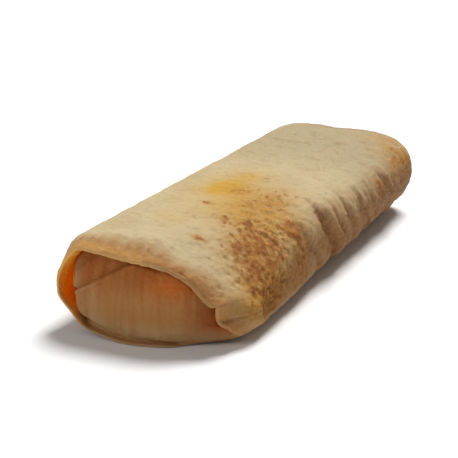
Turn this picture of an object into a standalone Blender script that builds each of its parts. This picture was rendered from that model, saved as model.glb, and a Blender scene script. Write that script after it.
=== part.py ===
"""A durum wrap: one soft flatbread rolled round its filling, pressed flat and tucked in at both ends.

Units are metres and +Z is up. The wrap lies on its flat base with its length along Y. The open
tucked end is at -Y and the toasted, pleated flank is at +X. The origin is the middle of the base.

The bread is one closed solid, lofted through rings that run round the roll: from the middle of
one tucked end, out over its flap, through the groove and round the lip, along the body, and back
the same way into the other end. A ring's points come from one rounded outline, whose side runs
from -1 at the left to 1 at the right and whose rise runs from -1 at the base to 1 at the top.
Along is the distance from the tip of the open end.
"""
import bmesh
import bpy
import numpy as np

# Driving dimensions
LENGTH = 0.2125
LEFT_HALF = 0.0392
RIGHT_HALF = 0.0378
HEIGHT = 0.0397
SHEET = 0.0014

# The rounded cross-section of the pressed roll, sunk a little into its flat base
RING_POINTS = 64
UPPER_EXPONENT = 4.8
LOWER_EXPONENT = 3.0
BASE_SINK = 0.0011
RIGHT_CROWN = 0.0030
FAR_CROWN = 0.0015
BODY_START = 0.036
BODY_STEP = 0.0052
PLEATED_STEP = 0.0030

# How the right side changes along the wrap
NEAR_WIDER = 0.0010
FAR_WIDER = 0.0016
FOOT_OUT = 0.0022
FOOT_OUT_AT = 0.058
FOOT_OUT_REACH = 0.028
FAR_FOOT_IN = 0.0046
FOOT_HEIGHT = 0.024
FAR_CHANGE_AT = 0.085
FAR_CHANGE_OVER = 0.070

# The right shoulder falls away towards the open end
FALL_AT = 0.006
FALL_REACH = 0.080
FALL_FROM_SIDE = 0.08
FALL_SLOPE = 0.66

# Swells that the filling presses into the top: height, waves a metre, slant
LUMPS = ((0.0004, 62.0, 2.1), (0.0003, 118.0, -4.0))

# The free edge of the sheet runs under the wrap, a little right of its middle
SEAM_X = 0.0165
SEAM_STEP = 0.0009
SEAM_WIDTH = 0.0012

# Pleats down the right flank: distance from the tip, height of the ridge, half width
PLEATS = (
    (0.1126, 0.0021, 0.0030),
    (0.1226, 0.0012, 0.0024),
    (0.1346, 0.0017, 0.0027),
    (0.1506, 0.0014, 0.0028),
    (0.1616, 0.0010, 0.0024),
    (0.1846, 0.0016, 0.0032),
)
PLEAT_LEAN = 0.0165
PLEAT_HOLLOW = 0.7
PLEAT_LIFT = 0.35
CREASE_AT = 0.0870
CREASE_DEPTH = 0.0012
CREASE_HALF_WIDTH = 0.0026

# Outer edge of the lip round the open end: x, distance from the tip, z
LIP_POINTS = (
    (0.0365, 0.0195, 0.0080),
    (0.0308, 0.0120, 0.0122),
    (0.0287, 0.0085, 0.0185),
    (0.0225, 0.0062, 0.0220),
    (0.0180, 0.0040, 0.0272),
    (0.0083, 0.0018, 0.0316),
    (-0.0055, 0.0013, 0.0338),
    (-0.0178, 0.0013, 0.0352),
    (-0.0295, 0.0018, 0.0358),
    (-0.0360, 0.0024, 0.0300),
    (-0.0395, 0.0028, 0.0210),
    (-0.0388, 0.0026, 0.0135),
    (-0.0338, 0.0022, 0.0084),
    (-0.0264, 0.0010, 0.0028),
    (-0.0160, 0.0002, 0.0008),
    (-0.0050, 0.0003, 0.0000),
    (0.0063, 0.0034, 0.0000),
    (0.0160, 0.0090, 0.0002),
    (0.0275, 0.0165, 0.0008),
    (0.0345, 0.0225, 0.0030),
)
LIP_SPAN_STEPS = 40
MOUTH_CENTRE = np.array([0.0, 0.0140])

# What changes round the open end, by the angle about its middle: 0 is right, 90 up, 180 left
GROOVE_DEPTH = (
    (-180, 0.0120), (-170, 0.0100), (-158, 0.0050), (-110, 0.0050), (-65, 0.0050), (-40, 0.0012),
    (-25, 0.0003), (-10, 0.0006), (0, 0.0045), (12, 0.0080), (35, 0.0085), (90, 0.0080), (140, 0.0105),
)
GROOVE_WIDTH = (
    (-180, 0.0042), (-170, 0.0032), (-160, 0.0012), (-130, 0.0008), (-60, 0.0008), (-25, 0.0006),
    (5, 0.0024), (30, 0.0028), (90, 0.0024), (150, 0.0036),
)
CURL_IN = ((-180, 0.0030), (-140, 0.0), (-50, 0.0), (-15, 0.0020), (15, 0.0080), (90, 0.0090), (150, 0.0060))
CURL_LENGTH = ((-180, 0.009), (-90, 0.010), (-20, 0.016), (30, 0.017), (90, 0.013), (150, 0.012))
CURL_FORWARD = 0.006
CURL_RINGS = (0.82, 0.62, 0.42, 0.22)
JOINED_DEPTH = 0.004

# The tucked flap that fills the open end, a pillow with the side fold set back behind its edge
FLAP_FRONT = 0.0022
FLAP_CREST_X = -0.003
FLAP_LEFT_BACK = 0.0016
FLAP_RIGHT_BACK = 0.0185
FLAP_RIGHT_POWER = 2.2
FLAP_TOP_BACK = 0.0045
FLAP_BASE_BACK = 0.0026
FLAP_FLAT_FROM = 0.009
FLAP_FLAT_TO = 0.013
FLAP_SHOULDER = 0.0012
FLAP_EDGE_LEFT = np.array([-0.0345, 0.0150])
FLAP_EDGE_RIGHT = np.array([-0.0090, 0.0303])
FLAP_EDGE_WIDTH = 0.0022
SIDE_FOLD_DEPTH = 0.0042
FLAP_RINGS = (0.985, 0.93, 0.86, 0.78, 0.69, 0.59, 0.48, 0.36, 0.23, 0.11)

# The far end is tucked the same way, but shut tighter
FAR_ROUNDING = 0.0120
FAR_TURNS = (25.0, 45.0, 62.0, 78.0, 90.0)
FAR_NARROWING = 0.30
FAR_LOWERING = 0.24
FAR_MIDDLE = 0.0183
FAR_GROOVE_DEPTH = 0.0042
FAR_GROOVE_WIDTH = 0.0014
FAR_FLAP_BACK = 0.0022
FAR_FLAP_CURVE = 0.0030
FAR_FOLD_SLOPE = 0.35
FAR_FOLD_STEP = 0.0018
FAR_FOLD_WIDTH = 0.0030
FAR_RINGS = (0.98, 0.90, 0.78, 0.62, 0.44, 0.26, 0.11)

BREAD_COLOUR = (0.68, 0.50, 0.26, 1.0)
BREAD_ROUGHNESS = 0.62
SHARP_ANGLE = 50.0
BACK = np.array([0.0, 1.0, 0.0])


def ease(value):
    """Smooth step from 0 to 1 while the value goes from 0 to 1."""
    held = np.clip(value, 0.0, 1.0)
    return held * held * (3.0 - 2.0 * held)


def bump(distance, half_width):
    """Soft bell of height 1 with the given half width."""
    return np.exp(-((distance / half_width) ** 2))


def by_angle(pairs, angle):
    """Value at each angle in degrees, read from a few pairs and closed round the full turn."""
    angles = [pair[0] for pair in pairs]
    values = [pair[1] for pair in pairs]
    return np.interp(angle, angles, values, period=360.0)


def unit_outline():
    """Side and rise of the rounded outline, with points evenly spaced round the real section."""
    turn = np.linspace(0.0, 2.0 * np.pi, 4001)
    side, rise = np.cos(turn), np.sin(turn)
    power = np.where(rise > 0.0, UPPER_EXPONENT, LOWER_EXPONENT)
    radius = (np.abs(side) ** power + np.abs(rise) ** power) ** (-1.0 / power)
    side, rise = side * radius, rise * radius
    steps = np.hypot(np.diff(side) * (LEFT_HALF + RIGHT_HALF), np.diff(rise) * HEIGHT)
    travelled = np.concatenate([[0.0], np.cumsum(steps)])
    even = np.linspace(0.0, travelled[-1], RING_POINTS, endpoint=False)
    return np.interp(even, travelled, side), np.interp(even, travelled, rise)


def pleat_lean(side, rise):
    """How much nearer the open end a pleat is at this point than low on the flank."""
    return PLEAT_LEAN * ease((rise + 0.5) / 1.3) * ease((side - 0.25) / 0.35)


def pleat_relief(side, rise, along):
    """How far the right flank stands out: slanted ridges, each with a hollow on its near side."""
    straightened = along + pleat_lean(side, rise)
    relief = -CREASE_DEPTH * bump(straightened - CREASE_AT, CREASE_HALF_WIDTH)
    for place, height, half_width in PLEATS:
        relief += height * bump(straightened - place, half_width)
        relief -= PLEAT_HOLLOW * height * bump(straightened - place + 1.9 * half_width, 1.4 * half_width)
    return relief * ease((side - 0.62) / 0.22) * ease((rise + 0.85) / 0.4)


def filling_lumps(side, along):
    """Gentle swells of the top, which fade out before the straight left edge."""
    swell = sum(height * np.sin(along * waves + side * slant) for height, waves, slant in LUMPS)
    return swell * ease((side + 0.85) / 0.5)


def body_points(side, rise, along):
    """Points on the outside of the roll."""
    farther = ease((along - FAR_CHANGE_AT) / FAR_CHANGE_OVER)
    right_half = RIGHT_HALF + FAR_WIDER * farther + NEAR_WIDER * (1.0 - ease(along / 0.050))
    x = side * np.where(side > 0.0, right_half, LEFT_HALF)
    z = (HEIGHT + BASE_SINK) * 0.5 * (1.0 + rise) - BASE_SINK
    foot = FOOT_OUT * bump(along - FOOT_OUT_AT, FOOT_OUT_REACH) - FAR_FOOT_IN * farther
    x = x + foot * ease(side / 0.7) * (1.0 - ease(z / FOOT_HEIGHT))
    crown = (RIGHT_CROWN + FAR_CROWN * farther) * np.maximum(side, 0.0) ** 2
    z = z + (filling_lumps(side, along) - crown) * ease(z / HEIGHT)
    fall = FALL_SLOPE * (1.0 - ease((along - FALL_AT) / FALL_REACH)) ** 1.5
    z = z * (1.0 - fall * np.maximum(side - FALL_FROM_SIDE, 0.0))
    outward = pleat_relief(side, rise, along)
    x = x + outward
    z = z + PLEAT_LIFT * outward * ease((rise - 0.2) / 0.6)
    seam = SEAM_STEP * ease((x - SEAM_X) / SEAM_WIDTH) * (rise < 0.0) * ease((0.004 - z) / 0.003)
    return np.stack([x, along, np.maximum(z, seam)], axis=1)


def inward_normals(ring):
    """Unit vectors in the plane of X and Z that point into the ring."""
    run = np.roll(ring, -1, axis=0) - np.roll(ring, 1, axis=0)
    normals = np.stack([-run[:, 2], np.zeros(len(ring)), run[:, 0]], axis=1)
    return normals / np.linalg.norm(normals, axis=1)[:, None]


def angles_about_mouth(ring):
    """Angle of each point about the middle of the mouth, in degrees."""
    return np.degrees(np.arctan2(ring[:, 2] - MOUTH_CENTRE[1], ring[:, 0] - MOUTH_CENTRE[0]))


def closed_spline(points, count):
    """Catmull-Rom curve through the points, closed, with the given steps in each span."""
    points = np.array(points)
    step = np.linspace(0.0, 1.0, count, endpoint=False)[:, None]
    spans = []
    for index in range(len(points)):
        before, start, end, after = (points[(index + shift) % len(points)] for shift in (-1, 0, 1, 2))
        straight = 2.0 * start + (end - before) * step
        bend = (2.0 * before - 5.0 * start + 4.0 * end - after) * step ** 2
        twist = (3.0 * start - before - 3.0 * end + after) * step ** 3
        spans.append(0.5 * (straight + bend + twist))
    return np.concatenate(spans)


def lip_at(angles):
    """Outer edge of the lip at each angle about the mouth."""
    curve = closed_spline(LIP_POINTS, LIP_SPAN_STEPS)
    turn = angles_about_mouth(curve)
    order = np.argsort(turn)
    columns = [np.interp(angles, turn[order], curve[order, axis], period=360.0) for axis in range(3)]
    lip = np.stack(columns, axis=1)
    lip[:, 2] = np.maximum(lip[:, 2], 0.0)
    return lip


def curve_between(start, end, start_pull, end_pull, amount):
    """Points part of the way from start to end, on a curve that leaves and arrives as pulled."""
    square, cube = amount ** 2, amount ** 3
    leave = (cube - 2.0 * square + amount) * start_pull
    arrive = (cube - square) * end_pull
    return (2.0 * cube - 3.0 * square + 1.0) * start + leave + (3.0 * square - 2.0 * cube) * end + arrive


def flap_face(x, z):
    """Distance from the tip of the flap's face, or of the side fold above its slanted edge."""
    leftward = np.maximum(FLAP_CREST_X - x, 0.0) / LEFT_HALF
    rightward = np.maximum(x - FLAP_CREST_X, 0.0) / RIGHT_HALF
    upward = np.maximum(z - FLAP_FLAT_TO, 0.0) / (HEIGHT * 0.5)
    downward = np.maximum(FLAP_FLAT_FROM - z, 0.0) / FLAP_FLAT_FROM
    face = FLAP_FRONT + FLAP_LEFT_BACK * leftward ** 2 + FLAP_RIGHT_BACK * rightward ** FLAP_RIGHT_POWER
    face = face + FLAP_TOP_BACK * upward ** 2 + FLAP_BASE_BACK * downward ** 2
    edge = FLAP_EDGE_RIGHT - FLAP_EDGE_LEFT
    across = np.array([-edge[1], edge[0]]) / np.linalg.norm(edge)
    above = (x - FLAP_EDGE_LEFT[0]) * across[0] + (z - FLAP_EDGE_LEFT[1]) * across[1]
    return face + SIDE_FOLD_DEPTH * ease(above / FLAP_EDGE_WIDTH + 0.35)


def flap_rings(foot, depth):
    """Rings over the flap, from near its middle out to its foot in the groove.

    Where the groove runs out, at the lower right, the flap and the lip are one surface.
    """
    joined = (1.0 - ease(depth / JOINED_DEPTH)) * (foot[:, 1] - flap_face(foot[:, 0], foot[:, 2]))
    rings = []
    for scale in reversed(FLAP_RINGS):
        x = MOUTH_CENTRE[0] + scale * (foot[:, 0] - MOUTH_CENTRE[0])
        z = MOUTH_CENTRE[1] + scale * (foot[:, 2] - MOUTH_CENTRE[1])
        outermost = np.maximum((scale - 0.80) / 0.185, 0.0)
        face = flap_face(x, z) + FLAP_SHOULDER * outermost ** 2 + joined * ease((scale - 0.70) / 0.29)
        rings.append(np.stack([x, np.minimum(face, foot[:, 1]), z], axis=1))
    return rings


def open_end_rings(outline):
    """Rings from near the middle of the open end, round its lip, to the start of the body."""
    side, rise = outline
    lip = lip_at(angles_about_mouth(body_points(side, rise, np.full(RING_POINTS, 0.010))))
    start = body_points(side, rise, lip[:, 1] + by_angle(CURL_LENGTH, angles_about_mouth(lip)))
    lip = lip_at(angles_about_mouth(start))
    angles = angles_about_mouth(lip)
    inward = inward_normals(lip)
    depth = by_angle(GROOVE_DEPTH, angles)[:, None]
    thickness = SHEET * (0.2 + 0.8 * ease(depth / 0.005))
    lip_front = lip + inward * thickness * 0.5 - BACK * thickness * 0.3
    lip_inner = lip + inward * thickness
    wall_end = lip_inner + BACK * depth + inward * SHEET * 0.2
    foot = wall_end + inward * by_angle(GROOVE_WIDTH, angles)[:, None]
    rings = flap_rings(foot, depth[:, 0]) + [foot, wall_end, lip_inner, lip_front, lip]
    pull = BACK * by_angle(CURL_LENGTH, angles)[:, None]
    curl = inward * by_angle(CURL_IN, angles)[:, None] - BACK * CURL_FORWARD
    for amount in CURL_RINGS:
        ring = curve_between(start, lip, -pull, curl, amount)
        ring[:, 2] = np.maximum(ring[:, 2], 0.0)
        rings.append(ring)
    return rings + [start]


def body_rings(outline, start, end):
    """Rings along the body, which lean with the pleats where the flank has them."""
    side, rise = outline
    lean = pleat_lean(side, rise)
    stations = [BODY_START]
    while stations[-1] < end - PLEATED_STEP:
        pleated = stations[-1] > CREASE_AT - 0.008
        stations.append(stations[-1] + (PLEATED_STEP if pleated else BODY_STEP))
    first = start[:, 1]
    rings = []
    for amount in (0.33, 0.66):
        rings.append(body_points(side, rise, first + (BODY_START - first) * amount))
    for station in stations:
        leaning = ease((station - 0.045) / 0.040) * ease((end - station) / 0.022)
        rings.append(body_points(side, rise, station - lean * leaning))
    return rings


def far_end_rings(outline):
    """Rings that round the far edge, turn in over its lip and close its tucked flap."""
    side, rise = outline
    edge = LENGTH - FAR_ROUNDING
    base = body_points(side, rise, np.full(RING_POINTS, edge))
    rings = [base]
    for turn in np.radians(FAR_TURNS):
        ring = base.copy()
        ring[:, 0] *= 1.0 - FAR_NARROWING * (1.0 - np.cos(turn))
        ring[:, 2] += (FAR_MIDDLE - ring[:, 2]) * FAR_LOWERING * (1.0 - np.cos(turn)) ** 2
        ring[:, 1] = edge + FAR_ROUNDING * np.sin(turn)
        rings.append(ring)
    inward = inward_normals(rings[-1])
    lip_inner = rings[-1] + inward * SHEET - BACK * SHEET * 0.4
    wall_end = lip_inner - BACK * FAR_GROOVE_DEPTH
    foot = wall_end + inward * FAR_GROOVE_WIDTH
    rings += [lip_inner, wall_end, foot]
    for scale in FAR_RINGS:
        x = scale * foot[:, 0]
        z = FAR_MIDDLE + scale * (foot[:, 2] - FAR_MIDDLE)
        above_fold = z - FAR_MIDDLE - FAR_FOLD_SLOPE * x
        face = LENGTH - FAR_FLAP_BACK - FAR_FLAP_CURVE * scale ** 4
        face = face - FAR_FOLD_STEP * ease(above_fold / FAR_FOLD_WIDTH)
        rings.append(np.stack([x, np.maximum(face, foot[:, 1]), z], axis=1))
    return rings


def loft(name, rings):
    """Closed mesh through the rings, with a point in the middle of each end."""
    bread = bmesh.new()
    layers = [[bread.verts.new(point) for point in ring] for ring in rings]
    for lower, upper in zip(layers, layers[1:]):
        for index in range(RING_POINTS):
            after = (index + 1) % RING_POINTS
            bread.faces.new((lower[index], lower[after], upper[after], upper[index]))
    for layer, ring in ((layers[0], rings[0]), (layers[-1], rings[-1])):
        tip = bread.verts.new(ring.mean(axis=0))
        for index in range(RING_POINTS):
            bread.faces.new((layer[index], layer[(index + 1) % RING_POINTS], tip))
    bmesh.ops.recalc_face_normals(bread, faces=bread.faces)
    mesh = bpy.data.meshes.new(name)
    bread.to_mesh(mesh)
    bread.free()
    return mesh


def flatbread_material():
    """Matt, lightly toasted bread."""
    material = bpy.data.materials.new("flatbread")
    material.use_nodes = True
    shader = material.node_tree.nodes["Principled BSDF"]
    shader.inputs["Base Color"].default_value = BREAD_COLOUR
    shader.inputs["Roughness"].default_value = BREAD_ROUGHNESS
    shader.inputs["Metallic"].default_value = 0.0
    return material


def build_wrap(collection):
    """The whole wrap, moved so that the origin is the middle of its base."""
    outline = unit_outline()
    near = open_end_rings(outline)
    far = far_end_rings(outline)
    rings = near + body_rings(outline, near[-1], LENGTH - FAR_ROUNDING) + far
    points = np.concatenate(rings)
    middle = (points.min(axis=0) + points.max(axis=0)) * 0.5 * np.array([1.0, 1.0, 0.0])
    mesh = loft("flatbread_wrap", [ring - middle for ring in rings])
    mesh.materials.append(flatbread_material())
    mesh.shade_smooth()
    mesh.set_sharp_from_angle(angle=np.radians(SHARP_ANGLE))
    wrap = bpy.data.objects.new("flatbread_wrap", mesh)
    collection.objects.link(wrap)


def main():
    """Clears the scene and builds the wrap in its own collection."""
    for old in list(bpy.data.objects):
        bpy.data.objects.remove(old, do_unlink=True)
    collection = bpy.data.collections.new("durum_wrap")
    bpy.context.scene.collection.children.link(collection)
    build_wrap(collection)


main()
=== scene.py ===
"""A chicken durum wrap: the fine surface of its flatbread, the toasting, the sauce and the studio.

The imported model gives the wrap's body as one plain solid. Here the same roll is lofted again, fine
enough to carry its folds, creases and blisters, and it stands in for that solid. All sizes are in
metres, with +Z up and the length along Y. Rings are first laid out from the tip of the open end,
so along is the distance from that tip, and the finished bread is then centred like the solid.

A ring's points come from one rounded outline. Its side runs from -1 at the left to 1 at the right,
and its rise from -1 at the base to 1 at the top. Across is the way round the skin from the middle
of the top, positive to the right. Inward is how far a point is behind the lip's edge, and above is
how far it is above the flap's slanted edge.
"""

import logging
import math
from dataclasses import dataclass, field
from enum import Enum
from typing import Iterable

import bmesh
import bpy
import numpy as np
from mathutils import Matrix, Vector, noise


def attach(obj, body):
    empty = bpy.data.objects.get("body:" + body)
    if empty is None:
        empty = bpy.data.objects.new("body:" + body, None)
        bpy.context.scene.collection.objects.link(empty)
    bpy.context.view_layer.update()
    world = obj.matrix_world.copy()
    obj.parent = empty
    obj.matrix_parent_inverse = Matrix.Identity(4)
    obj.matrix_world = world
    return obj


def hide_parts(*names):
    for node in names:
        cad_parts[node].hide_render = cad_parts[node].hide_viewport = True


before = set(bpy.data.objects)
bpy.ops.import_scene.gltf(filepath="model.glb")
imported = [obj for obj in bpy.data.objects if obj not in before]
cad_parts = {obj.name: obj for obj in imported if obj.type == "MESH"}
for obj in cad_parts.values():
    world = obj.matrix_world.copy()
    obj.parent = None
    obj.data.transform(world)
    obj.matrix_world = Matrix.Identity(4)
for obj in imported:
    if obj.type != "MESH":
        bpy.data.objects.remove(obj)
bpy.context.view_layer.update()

LOG = logging.getLogger("durum_wrap")
BREAD_NODE = "flatbread_wrap"
BODY = "root"
BLOTCH_INPUTS = ("Scale", "Detail", "From", "To")
BACK = np.array([0.0, 1.0, 0.0])
NO_LENGTH = 1e-12
Pairs = tuple[tuple[float, float], ...]
Colour = tuple[float, float, float]
Place = tuple[float, float, float]
Spots = tuple[float, float, float, float]


class Zone(Enum):
    """Stretches of the bread, from the middle of the open end to the middle of the far end."""

    FLAP = 0
    GROOVE = 1
    LIP = 2
    CURL = 3
    BODY = 4
    FAR_EDGE = 5
    FAR_FLAP = 6


# The outside of the bread, without and with the curl behind its lip.
PLAIN = (Zone.BODY, Zone.FAR_EDGE)
OUTSIDE = (*PLAIN, Zone.CURL)
Rings = list[tuple[Zone, np.ndarray]]


def ease(value: np.ndarray | float) -> np.ndarray:
    """Smooth step from 0 to 1 while the value goes from 0 to 1."""
    held = np.clip(value, 0.0, 1.0)
    return held * held * (3.0 - 2.0 * held)


def bump(distance: np.ndarray, half_width: float) -> np.ndarray:
    """Soft bell of height 1 with the given half width."""
    return np.exp(-((distance / half_width) ** 2))


def ridge(distance: np.ndarray, half_width: float, power: float = 1.3) -> np.ndarray:
    """Bell of height 1 with a sharper crest than the soft one, which has a power of 2."""
    return np.exp(-np.abs(distance / half_width) ** power)


def by_angle(pairs: Pairs, angle: np.ndarray, spread: float = 2.0, samples: int = 9) -> np.ndarray:
    """Reads a value at each angle from a few pairs, closed round the full turn.

    Args:
        pairs: Angles in degrees, rising, each with its value.
        angle: The angles to read at, in degrees.
        spread: Half width of the window that rounds off the corners, in degrees.
        samples: How many places in the window are read.

    Returns:
        One value for each angle.
    """
    angles = [pair[0] for pair in pairs]
    values = [pair[1] for pair in pairs]
    window = np.linspace(-spread, spread, samples)
    return np.mean([np.interp(angle + turn, angles, values, period=360.0) for turn in window], axis=0)


def inward_normals(ring: np.ndarray, reach: int) -> np.ndarray:
    """Unit vectors in the plane of X and Z that point into the ring.

    Args:
        ring: Points of a closed ring, one row each.
        reach: How many points away the neighbours that give the direction are.

    Returns:
        One unit vector for each point.
    """
    run = np.roll(ring, -reach, axis=0) - np.roll(ring, reach, axis=0)
    normals = np.stack([-run[:, 2], np.zeros(len(ring)), run[:, 0]], axis=1)
    return normals / np.linalg.norm(normals, axis=1)[:, None]


def loop_at(points: tuple[tuple[float, ...], ...], turn: np.ndarray, steps: int = 24) -> np.ndarray:
    """Reads a smooth closed curve at the given turns.

    Args:
        points: Points that the curve passes through, each with its turn in degrees first, rising.
        turn: The turns to read at, in degrees.
        steps: How many straight pieces stand for the curve between two of its points.

    Returns:
        The place on the curve at each turn, without the turn itself.
    """
    knots = np.array(points)
    full = np.zeros(knots.shape[1])
    full[0] = 360.0
    knots = np.concatenate([knots[-2:] - full, knots, knots[:3] + full])
    step = np.linspace(0.0, 1.0, steps, endpoint=False)[:, None]
    spans = []
    for before, start, end, after in zip(knots, knots[1:], knots[2:], knots[3:]):
        straight = 2.0 * start + (end - before) * step
        bend = (2.0 * before - 5.0 * start + 4.0 * end - after) * step ** 2
        twist = (3.0 * start - before - 3.0 * end + after) * step ** 3
        spans.append(0.5 * (straight + bend + twist))
    curve = np.concatenate(spans)
    held = (turn - points[0][0]) % 360.0 + points[0][0]
    return np.stack([np.interp(held, curve[:, 0], column) for column in curve.T[1:]], axis=1)


def curve_between(
    start: np.ndarray, end: np.ndarray, start_pull: np.ndarray, end_pull: np.ndarray, amount: float
) -> np.ndarray:
    """Points part of the way from start to end, on a curve that leaves and arrives as pulled."""
    square, cube = amount ** 2, amount ** 3
    leave = (cube - 2.0 * square + amount) * start_pull
    arrive = (cube - square) * end_pull
    return (2.0 * cube - 3.0 * square + 1.0) * start + leave + (3.0 * square - 2.0 * cube) * end + arrive


@dataclass(frozen=True)
class Fade:
    """A smooth rise to 1 over a length from its start, backwards where the length is negative."""

    start: float
    length: float
    least: float = 0.0

    def at(self, value: np.ndarray | float) -> np.ndarray:
        """How high the rise is at the value, from its least to 1."""
        return self.least + (1.0 - self.least) * ease((value - self.start) / self.length)


@dataclass(frozen=True)
class Bell:
    """A soft bell of height 1 about its middle."""

    middle: float
    half_width: float

    def at(self, value: np.ndarray) -> np.ndarray:
        """How high the bell is at the value."""
        return bump(value - self.middle, self.half_width)


@dataclass(frozen=True)
class Grain:
    """Fractal noise, by its waves in a metre for each coordinate and its number of finer layers."""

    waves: Place
    octaves: int
    fading: float = 1.0
    finer: float = 2.0

    def at(self, places: np.ndarray) -> np.ndarray:
        """One value, mostly between -1 and 1, for each place of three coordinates."""
        stretched = places.reshape(-1, 3) * np.array(self.waves)
        shape = (self.fading, self.finer, self.octaves)
        values = [noise.fractal(Vector(place), *shape) for place in stretched]
        return np.array(values).reshape(places.shape[:-1])


class Area:
    """A part of the skin, by its strength, its zones and a rise or a bell over each kind of place."""

    def __init__(self, strength: float, *zones: Zone, **parts: Fade | Bell) -> None:
        """Keeps what bounds the area.

        Args:
            strength: The mask's value where the whole area holds.
            zones: The zones that it is in, or none for all of them.
            parts: Rises and bells, each named for the place of the skin that it reads.
        """
        self.strength, self.zones, self.parts = strength, zones, parts

    def on(self, skin: "Skin") -> np.ndarray:
        """How strongly each point of the skin is in the area."""
        rows = skin.rows(*self.zones) if self.zones else 1.0
        rises = [part.at(getattr(skin, name)) for name, part in self.parts.items()]
        return math.prod(rises, start=self.strength * rows)


@dataclass(frozen=True)
class Pleats:
    """The slanted pleats of the right flank and the crease before them.

    Each ridge has its place along, its height and its half width. Places are measured low on the
    flank, and higher up the ridges lean towards the open end.
    """

    ridges: tuple[tuple[float, float, float], ...] = (
        (0.1126, 0.0021, 0.0030),
        (0.1226, 0.0012, 0.0022),
        (0.1346, 0.0014, 0.0024),
        (0.1506, 0.0011, 0.0024),
        (0.1616, 0.0008, 0.0021),
        (0.1806, 0.0009, 0.0026),
    )
    lean: float = 0.0165
    lean_rise: Fade = Fade(-0.5, 1.3)
    lean_side: Fade = Fade(0.25, 0.35)
    hollow: float = 0.3
    first_hollow: float = 0.8
    hollow_ahead: float = 1.9
    hollow_wider: float = 1.4
    top: Fade = Fade(0.90, -0.45, 0.10)
    first_top: Fade = Fade(0.96, -0.20, 0.25)
    crease: Bell = Bell(0.0870, 0.0026)
    crease_depth: float = 0.0012
    side: Fade = Fade(0.76, 0.17)
    rise: Fade = Fade(-0.85, 0.4)

    def leaning(self, side: np.ndarray, rise: np.ndarray) -> np.ndarray:
        """How much nearer the open end a pleat is at this point than low on the flank."""
        return self.lean * self.lean_rise.at(rise) * self.lean_side.at(side)

    def relief(self, side: np.ndarray, rise: np.ndarray, along: np.ndarray) -> np.ndarray:
        """How far the right flank stands out: slanted ridges, each with a hollow on its near side."""
        straightened = along + self.leaning(side, rise)
        relief = -self.crease_depth * self.crease.at(straightened)
        for place, height, half_width in self.ridges:
            is_first = place == self.ridges[0][0]
            depth, top = (self.first_hollow, self.first_top) if is_first else (self.hollow, self.top)
            past = straightened - place
            hollow = depth * bump(past + self.hollow_ahead * half_width, self.hollow_wider * half_width)
            relief = relief + height * (ridge(past, half_width) - hollow) * top.at(rise)
        return relief * self.side.at(side) * self.rise.at(rise)


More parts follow.
